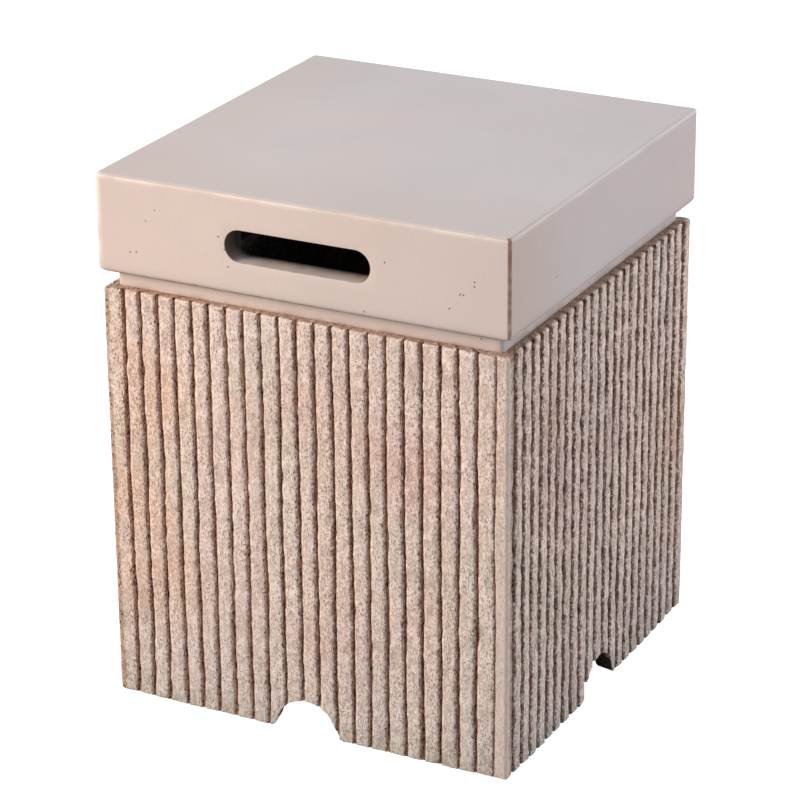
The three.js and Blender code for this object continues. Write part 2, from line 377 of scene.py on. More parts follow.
# %% [markdown]
# The material needs to know where the wash collected and where shade is painted. Depth below the crest is
# known here exactly, so it is handed over as a value per point. More wash lies under the rim and on the toe.
# Painted shade goes on the flank of each rib that faces the near corner, under the right side's toe, and
# down the corner at the left of the front. The posts that meet in the near corner are smooth, the front's
# one only low down.
# %% Wash and painted shade on the body
across_rib = np.where(groove_left < 0, share, np.where(groove_right < 0, share - 1, 2 * share - 1))
flank = by_side(1.0, -1.0, 1.0, -1.0) * across_rib
flank_shade_start = by_side(0.75, 0.55, 0.7, 0.7)
# Painted shade: wash colour spills over the flank of each rib that faces the near corner, where the lamps
# leave it dark.
flank_wash_and_shade = rising(flank, flank_shade_start, 1) * by_side(0.3, 0.4, 0.4, 0.4)
near_corner = on_corner & (side_of == front)
front_first_post = (side_of == front) & (groove_left < 0) & ~on_corner
front_last_post = (side_of == front) & (groove_right < 0) & ~on_corner
right_first_post = (side_of == right) & (groove_left < 0) & ~on_corner
corner_turn = np.degrees(np.nan_to_num(corner_angle))
# Painted shade: a darker line down the rounding of the front left corner and the edge of the front's first
# post.
left_corner_shade = np.interp(corner_turn, [-30, -5], [0.66, 0.56]) * (on_corner & (side_of == left))
left_corner_shade = left_corner_shade + np.interp(share, [0, 0.28], [0.46, 0]) * front_first_post
left_corner_shade = left_corner_shade * (1 + 0.25 * wander(height, 0, 55, 74))
corner_wash_and_shade = left_corner_shade + (0.32 + 0.3 * share) * right_first_post + 0.24 * near_corner
smooth_post = front_last_post * (1 - rising(height, 140, 300)) + near_corner + right_first_post
outside_wash_and_shade = full_groove / full_depth * np.where(flank < 0, 0.82, 1.0) + flank_wash_and_shade + corner_wash_and_shade
worn_low = body_rim - by_side(3.5, 7.0, 5.0, 5.0) + 1.5 * ragged
under_rim = rising(height - worn_low, 0, 2.5) * by_side(0.1, 0.32, 0.3, 0.3)
outside_wash_and_shade = np.clip(outside_wash_and_shade + under_rim, 0, 1)
# Wash on the toe; on the right side it goes past full wash into painted shade, nearly black.
toe_wash_and_shade = by_side(0.85, 1.4, 0.85, 0.85) * toe_inset / toe_radius
outside_wash_and_shade[:toe_rows] = np.maximum(outside_wash_and_shade[:toe_rows], toe_wash_and_shade)
rim_wash = np.linspace(0.05, 0.42, shoulder_rows)[:, None]
outside_wash_and_shade[-shoulder_rows:] = np.maximum(outside_wash_and_shade[-shoulder_rows:], rim_wash)
print(f"wash {outside_wash_and_shade.min():.2f} to {outside_wash_and_shade.max():.2f}, on average {outside_wash_and_shade.mean():.2f}")

# %% [markdown]
# A tint drifts along each rib, and a stain makes the wash rusty on one side and grey on the next. With the
# wash, the painted shade and the pits they become attributes of the mesh, which the material reads.
# %% The ribbed body
def spread(outside, rim_line_wash_and_shade, ledge, cavity, underside):
    """A value for every row: the outside's own, then the rim under the strip's foot, the ledge inside it,
    the cavity and the underside."""
    inner_values = [rim_line_wash_and_shade, ledge] + [cavity] * 5 + [underside]
    inner_rows = [np.broadcast_to(value, len(column)) for value in inner_values]
    return np.concatenate([outside, inner_rows]).ravel()


rib_number = np.where(on_corner | (groove_left < 0), 0, groove_left + 1).astype(int) + (grooves + 1) * side_of
drift = wander(height, np.broadcast_to(rib_number, height.shape), 120, 71)
drift = drift * 0.7 + 0.5 * np.random.default_rng(72).uniform(-1, 1, 100)[rib_number]
drift = drift - 1.2 * ((side_of == front) & (groove_right < 0))
rusty_sides = np.array([0.85, 0.1, 0.6, 0.4])
stain = rusty_sides[(side_of + on_corner) % 4] + 0.25 * wander(outline_place, 0, 45, 73)
stain = stain - 0.35 * np.clip(low_across / flat_end, 0, 1) * ((side_of == front) & ~on_corner)
stain = np.broadcast_to(stain, (body_rows, len(column)))
# The rim under the strip's foot gets wash and a painted shade line where the lid's strip sits on it; the
# ledge gets wash only. The underside's value lies past full wash, so the material paints it with shade,
# nearly black.
rim_line_wash_and_shade, ledge = by_side(0.45, 0.6, 0.5, 0.3), by_side(0.4, 0.34, 0.4, 0.3)
body_values = {"wash_and_shade": spread(outside_wash_and_shade, rim_line_wash_and_shade, ledge, 1.0, 1.5),
               "flank": spread(np.broadcast_to(flank, height.shape), 0.8, 0.8, 0.0, 0.0),
               "pits": spread(np.clip((rough_skin - swell * 0.6) / 1.4, 0, 1), 0.4, 0.4, 0.3, 0.3),
               "tint": spread(drift, 0.0, 0.0, 0.0, 0.0), "stain": stain.ravel(),
               "smooth": spread(smooth_post, 0.0, 0.0, 0.0, 0.0),
               "within": spread(np.zeros_like(height), 0.0, 0.0, 1.0, 0.0)}
body_quads = wrapped_quads(body_rows, len(column), True)
body = add_piece("ribbed_body", body_points, body_quads, [], body_values, 60)
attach(body, "base")
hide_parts("body_shell")

# %% [markdown]
# The lid is one profile carried round a rounded square: from the middle of the top, over the edge, down
# the cap, under it, down the inset strip, round the ring that drops into the body, and up inside to the
# middle of the ceiling. Each level is a half width, a corner radius and a height.
# %% Profile of the lid
lid_half, _, lid_top = np.array(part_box("lid")[1]) * 1000
cap_height, strip_height, roof = 91, 13.5, 24
cap_low, ceiling = lid_top - cap_height, lid_top - roof
seat, strip_foot = cap_low - strip_height, body_rim + 0.2
cap_corner, strip_half, ring_half, mouth_half, hollow_half = 3.6, 187.5, 174.0, 160.0, 178.0
slot_middle, slot_radius, slot_reach, slot_lip = lid_top - 46, 14.5, 55.5, 0.7
window_steps, window_top, window_step = 8, lid_top - 24, 5.5
inner_low, inner_step = slot_middle - 19, 4.375


def rounding(half, z, reach, rise, turns, start):
    """Levels on a quarter ellipse: half width falls by reach(1 - cos) and z by rise(1 - sin) of the turn."""
    return [(half - reach * (1 - cos(radians(t))), start, z + rise * (sin(radians(t)) - 1)) for t in turns]


levels = [(half, 1.0, lid_top) for half in (25, 60, 100, 140, 170, 188, 195, lid_half - 3)]
levels += rounding(lid_half, lid_top, 3, 3, (72, 54, 36, 18), 3.2)
levels += [(lid_half, cap_corner, lid_top - drop) for drop in (3, 6, 11, 17)]
first_window = len(levels)
levels += [(lid_half, cap_corner, window_top - window_step * step) for step in range(window_steps + 1)]
levels += [(lid_half, cap_corner, cap_low + rise) for rise in (18, 12, 6)]
low_turns = [radians(t) for t in (25, 50, 72, 90)]
levels += [(lid_half - 6 * (1 - cos(t)), 3.2, cap_low + 6 - 6 * sin(t)) for t in low_turns]
levels += [(190, 4.0, cap_low), (strip_half, 4.5, cap_low)]
levels += [(strip_half, 5.0, cap_low - drop) for drop in (1.2, 4, 8)]
levels += [(strip_half, 5.0, seat + 1.2), (strip_half, 5.0, strip_foot + 0.3)]
levels += [(strip_half - 0.3, 4.7, strip_foot), (strip_half - 0.8, 4.2, strip_foot)]
levels += [(strip_half - 0.9, 4.1, seat)]
first_hidden = len(levels)
levels += [(180, 8.0, seat), (ring_half, 12.0, seat), (ring_half, 12.0, seat - 10)]
levels += [(ring_half - 2, 10.0, seat - 12), (mouth_half + 1.5, 12.0, seat - 12)]
levels += [(mouth_half, 12.0, seat - 10.5), (mouth_half, 12.0, seat + 16)]
levels += [(mouth_half + 9, 12.0, seat + 24), (hollow_half, 12.0, seat + 32)]
first_inner = len(levels)
levels += [(hollow_half, 12.0, inner_low + inner_step * step) for step in range(window_steps + 1)]
levels += rounding(hollow_half, ceiling, 8, 8, (45, 70, 90), 6.0)
levels += [(half, 4.0, ceiling) for half in (140, 90, 40)]
level_half, level_corner, level_height = np.array(levels).T
print(f"lid: {len(levels)} levels from {level_height.max():.1f} down to {level_height.min():.1f} mm")

# %% [markdown]
# Round the lid the columns stand 4 mm apart, close enough to show a nick in an edge.
# %% Columns of the lid
lid_flat = lid_half - cap_corner
lid_stops = np.linspace(-lid_flat, lid_flat, 99)
on_flat, on_arc = len(lid_stops), len(corner_angles)
lid_columns = on_flat + on_arc
lid_angle = np.tile(np.concatenate([np.full(on_flat, np.nan), np.radians(corner_angles)]), 4)
lid_side = np.repeat(np.arange(4), lid_columns)
lid_across = np.tile(np.concatenate([lid_stops, np.full(on_arc, lid_flat)]), 4)
print(f"{len(lid_side)} columns round the lid, {lid_stops[1] - lid_stops[0]:.2f} mm apart")
lid_corner = ~np.isnan(lid_angle)
lid_place = lid_across + lid_half + 2 * lid_half * lid_side


def squeezed(end):
    """Columns keep their places in the middle of a side and close up towards a corner that is nearer."""
    kept = min(100.0, end * 0.5)
    return np.sign(lid_across) * np.interp(np.abs(lid_across), [0, 100, lid_flat], [0, kept, end])


straight = np.stack([squeezed(half - radius) for half, radius in zip(level_half, level_corner)])

# %% [markdown]
# The cap was trowelled, not machined. Its faces are hollow by a few tenths, its edges have small nicks,
# and near the slot it stays true, so that the slot's lip lies flat on it. The upright edges are worn by
# different amounts, most at the near corner.
# %% Faces and nicks of the lid
on_top = (level_height > lid_top - 0.01)[:, None]
on_cap = ~on_top & ((level_height > cap_low + 1) & (level_half > lid_half - 7))[:, None]
lid_along = np.broadcast_to(lid_place, straight.shape)
lid_level = np.broadcast_to(level_height[:, None], straight.shape)
from_slot = np.hypot(np.clip(np.abs(straight) - slot_reach, 0, None), lid_level - slot_middle)
near_slot = np.where(lid_side % 2 == 0, np.clip((from_slot - 19) / 25, 0, 1), 1)
hollow = 0.3 * (1 + field(lid_along, lid_level, 85, 60, 81)) * near_slot * on_cap
nick_stream = np.broadcast_to(np.arange(len(levels))[:, None] // 4, straight.shape)
nick = 2.6 * np.clip(wander(lid_along, nick_stream, 5, 82) - 0.72, 0, None)
top_edge = np.exp(-((level_height - lid_top + 0.9) / 0.9) ** 2) * (level_half > lid_half - 2.6)
low_edge = np.exp(-((level_height - cap_low - 1) / 1.2) ** 2) * (level_half > lid_half - 5.5)
low_edge = low_edge * (level_height < lid_top - 50)
lid_turn = np.degrees(np.nan_to_num(lid_angle))
corner_edge = np.interp(lid_turn, [-90, -60, -40, -25, 0], [0, 0.3, 1, 0.7, 0])
corner_edge = corner_edge * by_side(0.0, 0.6, 0.6, 0.1, sides=lid_side)
near_edge = np.interp(lid_turn, [-90, -75, -30, -12, 0], [0, 1.3, 1.3, 0.9, 0.5])
corner_edge = np.where((lid_side == front) & lid_corner, near_edge, corner_edge)
edge_of_cap = np.maximum(np.maximum(0.62 * top_edge, low_edge)[:, None], corner_edge * on_cap)
lid_inwards = hollow + nick * edge_of_cap
lid_drop = 0.2 * (1 + field(lid_along, np.broadcast_to(level_half[:, None], straight.shape), 120, 60, 83))
lid_drop = np.where(on_top, lid_drop * rising(lid_half - 3 - level_half, 0, 30)[:, None], 0)
print(f"deepest nick {(nick * edge_of_cap).max():.2f} mm")

# %% [markdown]
# The lid's points come from the same two functions as the body's. The middle of the top and the middle of
# the ceiling are closed with a fan of triangles each.
# %% Points of the lid
lid_x, lid_y = rounded_square(level_half[:, None], level_corner[:, None], straight, lid_inwards, lid_angle)
grid = placed(lid_x, lid_y, lid_level - lid_drop, lid_side)
rows, columns = grid.shape[:2]
poles = np.array([[0, 0, lid_top - 0.3], [0, 0, ceiling]])
top_pole, ceiling_pole = rows * columns, rows * columns + 1
ring = np.arange(columns)
top_fan = np.stack([np.full(columns, top_pole), ring, (ring + 1) % columns], axis=-1)
last = (rows - 1) * columns
ceiling_fan = np.stack([np.full(columns, ceiling_pole), last + (ring + 1) % columns, last + ring], axis=-1)
print(f"{rows} levels of {columns} points")

# %% [markdown]
# A handle slot goes through the front and back walls. A window of quads is left out of the outer and the
# inner wall, and a sleeve joins the two: it closes in from the window to the slot's rounded lip, goes
# through the wall, and opens out again to the inner window.
# %% Handle slots
window_left, window_right = 29, 69
lip_turns = [radians(t) for t in (0, 25, 50, 70, 90)]
sleeve_path = [(slot_lip * (1 - sin(t)), slot_lip * (1 - cos(t))) for t in lip_turns]
sleeve_path += [(0.0, 8.0), (0.0, 15.0), (0.0, 21.5)]


def window_loop(side, row_of):
    """Corner numbers round a window, clockwise from its upper left: along the top, down, back and up."""
    start = side * lid_columns
    r = np.arange(window_steps + 1)
    c = np.arange(window_left, window_right + 1)
    top = row_of(r[:1]) * columns + start + c[:-1]
    right_side = row_of(r[:-1]) * columns + start + window_right
    bottom = row_of(r[-1:]) * columns + start + c[:0:-1]
    left_side = row_of(r[:0:-1]) * columns + start + window_left
    return np.concatenate([top, right_side, bottom, left_side])


def slot_ring(loop, grown, inwards, side):
    """Each point of the window goes to the nearest point of the slot's outline: straight to the spine of
    the slot, then out again by its radius."""
    row, at = loop // columns, loop % columns
    x, z = straight[row, at], level_height[row] - slot_middle
    spine = np.clip(x, -slot_reach, slot_reach)
    length, reach = np.hypot(x - spine, z), slot_radius + grown
    local_x = spine + (x - spine) / length * reach
    local_y = np.full(len(loop), inwards - lid_half)
    facing = 1 if side == front else -1
    return np.stack([local_x * facing, local_y * facing, slot_middle + z / length * reach], axis=-1)


def sleeve(side, first_new):
    """Rings from the outer window to the inner one, and the quads between them."""
    outer_loop = window_loop(side, lambda r: first_window + r)
    inner_loop = window_loop(side, lambda r: first_inner + window_steps - r)
    rings = [slot_ring(outer_loop, grown, inwards, side) for grown, inwards in sleeve_path]
    numbers = [outer_loop]
    numbers += [first_new + len(outer_loop) * step + np.arange(len(outer_loop)) for step in range(len(rings))]
    numbers += [inner_loop]
    quads = [np.stack([a, np.roll(a, -1), np.roll(b, -1), b], axis=-1) for a, b in zip(numbers, numbers[1:])]
    return np.concatenate(rings), np.concatenate(quads)


lid_quads = wrapped_quads(rows, columns, False)
quad_row, quad_column = np.divmod(np.arange(len(lid_quads)), columns)
at_column, on_slot_side = quad_column % lid_columns, quad_column // lid_columns % 2 == 0
in_columns = (at_column >= window_left) & (at_column < window_right) & on_slot_side
in_outer = (quad_row >= first_window) & (quad_row < first_window + window_steps)
in_inner = (quad_row >= first_inner) & (quad_row < first_inner + window_steps)
lid_quads = lid_quads[~(in_columns & (in_outer | in_inner))]
front_points, front_quads = sleeve(front, rows * columns + 2)
back_points, back_quads = sleeve(back, rows * columns + 2 + len(front_points))
print(f"each slot: {len(front_points)} points in its sleeve")

# %% [markdown]
# Brown wash was left in the strip under the cap, and painted shade lies there too: a band at the top of the
# strip under the cap's overhang, a line at its foot over the gap, and a dark line along the cap's lower edge.
# In the slot, wash and painted shade darken the lip and the rounded ends. The deeper a point lies in the
# slot, the less light it should show, apart from the sill, which faces up.
# %% Wash and shade of the lid
lid_stain = rusty_sides[lid_side] + 0.25 * wander(lid_place, 0, 45, 84)
lid_stain = np.where(lid_corner & (lid_side == front), 1.0, lid_stain)
on_strip = (np.abs(level_half - strip_half) < 3) & (level_height < cap_low + 0.1)
# On the strip, wash with painted shade: darker at the foot, over the gap, and at the top, under the cap's
# overhang.
strip_stops = [strip_foot, strip_foot + 1.5, seat + 4, cap_low - 6, cap_low - 1]
strip_wash_and_shade = np.interp(level_height, strip_stops, [0.52, 0.28, 0.06, 0.0, 0.3])
strip_wash_and_shade = np.where(on_strip, strip_wash_and_shade, 0)[:, None] + 0.12 * on_strip[:, None] * (1 - lid_stain)
# Painted shade: a dark line along the cap's lower edge, where it overhangs the strip.
cap_edge_shade = np.interp(level_height, [cap_low, cap_low + 0.6, cap_low + 2.6], [0.8, 0.7, 0])
cap_edge_shade = (cap_edge_shade * (level_half > strip_half + 2))[:, None] * np.clip(0.3 + lid_stain, 0, 1)
level_inside = (np.arange(len(levels)) >= first_hidden).astype(float)[:, None]
round_ends = np.clip(np.abs(front_points[:, 0]) - slot_reach, 0, None)
below = slot_middle - front_points[:, 2]
sill = rising(1.6 * below / np.hypot(round_ends, below) - 0.6, 0, 1)


def by_ring(*values):
    """One value for each ring of the sleeve, from the outer window inwards."""
    return np.repeat(values, len(front_points) // len(sleeve_path))


at_ends = np.clip(round_ends / 8, 0, 1) * by_ring(0, 0.4, 1, 1, 1, 1, 1, 1)
# Wash and painted shade in the slot: darker round the lip and on the rounded ends.
sleeve_wash_and_shade = np.maximum(by_ring(0.0, 0.4, 0.5, 0.42, 0.3, 0.15, 0.3, 0.6), 0.85 * at_ends)
sleeve_dark = by_ring(0, 0.3, 0.7, 0.88, 0.93, 0.95, 0.97, 1.0) * (1 - sill) * (1 - 0.3 * at_ends)
sleeve_dark = np.maximum(sleeve_dark, by_ring(0, 0, 0, 0, 0, 0, 0.3, 1.0))
print(f"shade in the slot up to {sleeve_dark.max():.2f}")

# %% [markdown]
# Just below the top edge a painted highlight stands for a pale line that catches the light, and one more
# is painted down the front left corner. The top is warmer towards the front and the left, and the right
# side is warmer beside the near corner.
# %% The lid
all_points = np.concatenate([grid.reshape(-1, 3), poles, front_points, back_points])
extra = len(all_points) - rows * columns


def for_all(values, others):
    """One value for every grid point, from a value per level or per point, and one for all other points."""
    return np.concatenate([np.broadcast_to(values, grid.shape[:2]).ravel(), np.broadcast_to(others, extra)])


lid_wash_and_shade = for_all(np.maximum(strip_wash_and_shade, cap_edge_shade), np.concatenate([[0, 0], sleeve_wash_and_shade, sleeve_wash_and_shade]))
lid_within = for_all(level_inside, np.concatenate([[0, 1], sleeve_dark, sleeve_dark]))
# Painted highlight: a pale line just below the top edge.
highlight = np.exp(-((level_height - lid_top + 2.4) / 0.8) ** 2) * (level_half > lid_half - 1.5)
highlight = highlight[:, None] * by_side(0.6, 0.4, 0.7, 0.75, sides=lid_side)
# Painted highlight down the front left corner.
beside_left = (lid_side == front) & (lid_across < 4 - lid_flat)
corner_highlight = 0.8 * ((lid_side == left) & lid_corner) + 0.6 * beside_left
painted_highlight = for_all(np.maximum(highlight, corner_highlight * on_cap), 0)
near_front = 0.45 * rising(-grid[..., 1], 60, 200)
near_left = 0.4 * rising(-grid[..., 0], 90, 200)
beside_corner = (lid_side == right) * (1 - rising(lid_across + lid_flat, 0, 120))
warmth = for_all(np.where(on_top, near_front + near_left, beside_corner * on_cap), 0)
lid_values = {"wash_and_shade": lid_wash_and_shade, "worn": for_all(edge_of_cap, 0), "stain": for_all(lid_stain, 0.7),
              "within": lid_within, "painted_highlight": painted_highlight, "warmth": warmth}
lid_faces = np.concatenate([lid_quads, front_quads, back_quads])
lid_fans = np.concatenate([top_fan, ceiling_fan])
lid = add_piece("stone_lid", all_points, lid_faces, lid_fans, lid_values, 38)
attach(lid, "cover")
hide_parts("lid")

# %% [markdown]
# Materials are built from small groups that both castings share: clouds of colour, a sandy grain, and
# pinholes left by air in the mix. A few helpers keep the node code short.
# %% Node helpers
def add_node(tree, kind, inputs=None, **settings):
    """A node of this kind, with its settings, and its inputs set to a value or joined to a socket."""
    node = tree.nodes.new(kind)
    for key, value in settings.items():
        setattr(node, key, value)
    for key, value in (inputs or {}).items():
        if isinstance(value, bpy.types.NodeSocket):
            tree.links.new(value, node.inputs[key])
        else:
            node.inputs[key].default_value = value
    return node


def arithmetic(tree, operation, a, b=0.0, clamp=False):
    """One Math node on a and b."""
    return add_node(tree, "ShaderNodeMath", {0: a, 1: b}, operation=operation, use_clamp=clamp).outputs[0]


def product(tree, result, *factors):
    """The first value times each of the others in turn."""
    for factor in factors:
        result = arithmetic(tree, "MULTIPLY", result, factor)
    return result


def total(tree, result, *terms):
    """The first value plus each of the others in turn."""
    for term in terms:
        result = arithmetic(tree, "ADD", result, term)
    return result


def stretch(tree, value, low, high, to_low=0.0, to_high=1.0):
    """Maps low..high to the new range, smoothly and with both ends held."""
    settings = {"Value": value, "From Min": low, "From Max": high, "To Min": to_low, "To Max": to_high}
    return add_node(tree, "ShaderNodeMapRange", settings, interpolation_type="SMOOTHSTEP").outputs["Result"]


def mixed(tree, amount, a, b, blend="MIX"):
    """Colours a and b mixed by the amount."""
    settings = {"Factor": amount, 6: a, 7: b}
    return add_node(tree, "ShaderNodeMix", settings, data_type="RGBA", blend_type=blend).outputs[2]


def new_group(name, inputs, outputs):
    """An empty shader node group. An input without a default is a vector, all else is a number. Returns
    the group with its input and output nodes."""
    group = bpy.data.node_groups.new(name, "ShaderNodeTree")
    for key, value in inputs.items():
        kind = "NodeSocketVector" if value is None else "NodeSocketFloat"
        socket = group.interface.new_socket(name=key, in_out="INPUT", socket_type=kind)
        if value is not None:
            socket.default_value = value
    for key in outputs:
        group.interface.new_socket(name=key, in_out="OUTPUT", socket_type="NodeSocketFloat")
    return group, group.nodes.new("NodeGroupInput"), group.nodes.new("NodeGroupOutput")


def use_group(tree, group, inputs):
    """The group placed in a material or another group."""
    return add_node(tree, "ShaderNodeGroup", inputs, node_tree=group)


# %% [markdown]
# Clouds: pigment never mixes evenly into cement. A slow noise with a threshold gives patches with soft
# borders. The same group, with other seeds, makes the green patches, the rough ones and those on the lid.
# %% Group: clouds
clouds, cloud_in, cloud_out = new_group(
    "colour clouds", {"Vector": None, "Scale": 9.0, "Seed": 0.0, "Low": 0.45, "High": 0.6}, ["Mask"])
cloud_noise = add_node(clouds, "ShaderNodeTexNoise",
                       {"Vector": cloud_in.outputs["Vector"], "W": cloud_in.outputs["Seed"],
                        "Scale": cloud_in.outputs["Scale"], "Detail": 4.0, "Roughness": 0.55},
                       noise_dimensions="4D")
cloud_mask = stretch(clouds, cloud_noise.outputs["Fac"], cloud_in.outputs["Low"], cloud_in.outputs["High"])
clouds.links.new(cloud_mask, cloud_out.inputs["Mask"])
print(f"{clouds.name}: {len(clouds.nodes)} nodes")


def cloud(tree, vector, scale, seed, low, high):
    """Mask of the clouds group: 0 where its noise is below low, 1 above high."""
    inputs = {"Vector": vector, "Scale": scale, "Seed": seed, "Low": low, "High": high}
    return use_group(tree, clouds, inputs).outputs["Mask"]


# %% [markdown]
# Grain: sand about a millimetre across, dark pits and pale grains. All of it is longer than wide, because
# the stone was brushed downwards while it was green, and faint streaks run the same way.
# %% Group: sandy grain
grain, grain_in, grain_out = new_group(
    "sandy grain", {"Vector": None, "Grains": 620.0, "Specks": 0.6}, ["Tone", "Specks", "Lights", "Height"])


def drawn_noise(share, upright, seed, detail):
    """Noise at a share of the grain's scale, drawn out along Z: an upright of 0.5 doubles its height."""
    settings = {"Vector": grain_in.outputs["Vector"], "Scale": (1.0, 1.0, upright)}
    drawn = add_node(grain, "ShaderNodeMapping", settings)
    scale = product(grain, grain_in.outputs["Grains"], share)
    settings = {"Vector": drawn.outputs[0], "W": seed, "Scale": scale, "Detail": detail, "Roughness": 0.68}
    return add_node(grain, "ShaderNodeTexNoise", settings, noise_dimensions="4D").outputs["Fac"]


def weighted(*terms):
    """Sum of value times weight over the terms."""
    return total(grain, *[product(grain, value, weight) for value, weight in terms])


together = weighted((drawn_noise(1.0, 0.6, 0.0, 2.0), 0.5), (drawn_noise(0.4, 0.5, 3.0, 3.0), 0.32),
                    (drawn_noise(0.5, 0.12, 5.0, 2.0), 0.18))
speck_start = arithmetic(grain, "SUBTRACT", 0.69, product(grain, grain_in.outputs["Specks"], 0.12))
speck_mask = stretch(grain, drawn_noise(1.3, 0.5, 7.0, 1.0), speck_start, total(grain, speck_start, 0.05))
light_mask = stretch(grain, drawn_noise(1.4, 0.6, 9.0, 1.0), 0.58, 0.62)
grain_height = weighted((together, 1.0), (speck_mask, -0.4), (light_mask, 0.15))
grain_masks = {"Tone": stretch(grain, together, 0.42, 0.58), "Specks": speck_mask, "Lights": light_mask}
for key, value in {**grain_masks, "Height": grain_height}.items():
    grain.links.new(value, grain_out.inputs[key])
print(f"{grain.name}: {len(grain.nodes)} nodes")

# %% [markdown]
# Pinholes: air that rose against the mould. Voronoi cells give one round hole each. The random colour of
# a cell decides whether its hole is kept and how large it is.
# %% Group: pinholes
pinholes, pin_in, pin_out = new_group(
    "pinholes", {"Vector": None, "Spacing": 42.0, "Size": 0.05, "Kept": 0.3}, ["Mask"])
cells = add_node(pinholes, "ShaderNodeTexVoronoi",
                 {"Vector": pin_in.outputs["Vector"], "Scale": pin_in.outputs["Spacing"], "Randomness": 1.0})
chosen = add_node(pinholes, "ShaderNodeSeparateColor", {"Color": cells.outputs["Color"]})
kept = arithmetic(pinholes, "LESS_THAN", chosen.outputs[0], pin_in.outputs["Kept"])
hole_size = product(pinholes, pin_in.outputs["Size"], total(pinholes, chosen.outputs[1], 0.5))
hole_core = product(pinholes, hole_size, 0.6)
hole = stretch(pinholes, cells.outputs["Distance"], hole_core, hole_size, 1.0, 0.0)
pinholes.links.new(product(pinholes, hole, kept), pin_out.inputs["Mask"])
print(f"{pinholes.name}: {len(pinholes.nodes)} nodes")

# %% [markdown]
# Some holes and patches are too plain in the photograph to be left to chance. One small group draws a
# single round spot at a given place, and a helper gathers several of them into one mask.
# %% Group: one spot
one_spot, dot_in, dot_out = new_group(
    "one spot", {"Vector": None, "Place": None, "Size": 0.001, "Core": 0.5}, ["Mask"])
gap = add_node(one_spot, "ShaderNodeVectorMath", {0: dot_in.outputs["Vector"], 1: dot_in.outputs["Place"]},
               operation="DISTANCE")
core = product(one_spot, dot_in.outputs["Size"], dot_in.outputs["Core"])
dot = stretch(one_spot, gap.outputs["Value"], core, dot_in.outputs["Size"], 1.0, 0.0)
one_spot.links.new(dot, dot_out.inputs["Mask"])
print(f"{one_spot.name}: {len(one_spot.nodes)} nodes")


def spots(tree, vector, core, places):
    """Highest mask of several spots, each given as x, y, z and a radius in millimetres."""
    mask = 0.0
    for x, y, z, radius in places:
        settings = {"Vector": vector, "Place": (x / 1000, y / 1000, z / 1000),
                    "Size": radius / 1000, "Core": core}
        spot = use_group(tree, one_spot, settings).outputs["Mask"]
        mask = arithmetic(tree, "MAXIMUM", mask, spot)
    return mask


# %% [markdown]
# A new material starts with the Principled shader, the object's own coordinates and one bump node.
# %% Material start
def start_material(name, roughness, bump_distance, specular):
    """A material with its tree, its shader, the Object coordinates and the bump node."""
    material = bpy.data.materials.new(name)
    material.use_nodes = True
    tree = material.node_tree
    shader = tree.nodes["Principled BSDF"]
    shader.inputs["Roughness"].default_value = roughness
    shader.inputs["Specular IOR Level"].default_value = specular
    own = add_node(tree, "ShaderNodeTexCoord").outputs["Object"]
    bump = add_node(tree, "ShaderNodeBump", {"Strength": 1.0, "Distance": bump_distance})
    tree.links.new(bump.outputs["Normal"], shader.inputs["Normal"])
    return material, tree, shader, own, bump


def read_value(tree, name):
    """The number that the mesh holds under this name."""
    settings = {"attribute_name": name, "attribute_type": "GEOMETRY"}
    return add_node(tree, "ShaderNodeAttribute", **settings).outputs["Fac"]


# %% [markdown]
# Ribbed stone starts with its patches: pinkish beige, warmer where the stain is low and greyer towards the
# ground, with peach, pink and yellow-green over it. The tint drifts along each rib, so neighbours differ.
# The patches that show most have their own places, and a slow noise bends their borders.
# %% Ribbed stone: patches
ribbed_stone, tree, shader, own, bump = start_material("ribbed stone", 0.92, 0.0013, 0.2)
read_first = [read_value(tree, key) for key in ("tint", "stain", "wash_and_shade", "flank", "pits")]
tint, stain, wash_and_shade, flank, deep_pits = read_first
green = cloud(tree, own, 9.0, 8.4, 0.46, 0.7)
soft = cloud(tree, own, 16.0, 5.7, 0.35, 0.65)
blot = cloud(tree, own, 7.0, 2.6, 0.5, 0.72)
reach = 0.11
push = add_node(tree, "ShaderNodeTexNoise", {"Vector": own, "Scale": 13.0, "Detail": 3.0}).outputs["Color"]
pushed = add_node(tree, "ShaderNodeVectorMath", {0: push, 1: (reach,) * 3, 2: own},
                  operation="MULTIPLY_ADD")
shifted = add_node(tree, "ShaderNodeVectorMath", {0: pushed.outputs[0], 1: (reach / 2,) * 3},
                   operation="SUBTRACT").outputs[0]
orange_places = [(-152, -198, 300, 75), (-165, -198, 130, 85), (-185, -198, 215, 75), (-178, -198, 345, 50),
                 (198, 160, 200, 80), (198, 150, 100, 60), (198, -120, 305, 35)]
pink_places = [(20, -198, 325, 60), (95, -198, 285, 65), (25, -198, 100, 60), (198, -118, 315, 55),
               (198, -70, 200, 50), (198, 90, 50, 70), (198, 30, 260, 40), (198, -100, 250, 60)]
orange = arithmetic(tree, "MAXIMUM", spots(tree, shifted, 0.1, orange_places), product(tree, blot, 0.5))
pink = spots(tree, shifted, 0.1, pink_places)
pink_beige = mixed(tree, soft, (0.81, 0.66, 0.59, 1), (0.87, 0.725, 0.66, 1))
warmer = mixed(tree, arithmetic(tree, "SUBTRACT", 0.85, stain, True), pink_beige, (0.96, 0.75, 0.63, 1))
green_amount = total(tree, product(tree, green, 0.5), arithmetic(tree, "MULTIPLY", tint, 0.3, True))
with_green = mixed(tree, green_amount, warmer, (0.71, 0.665, 0.54, 1))
with_pink = mixed(tree, product(tree, pink, 0.85), with_green, (0.81, 0.585, 0.52, 1))
with_orange = mixed(tree, product(tree, orange, 0.75), with_pink, (0.85, 0.60, 0.45, 1))
upright = add_node(tree, "ShaderNodeSeparateXYZ", {"Vector": own}).outputs["Z"]
grey_low = mixed(tree, stain, (0.78, 0.665, 0.60, 1), (0.70, 0.63, 0.595, 1))
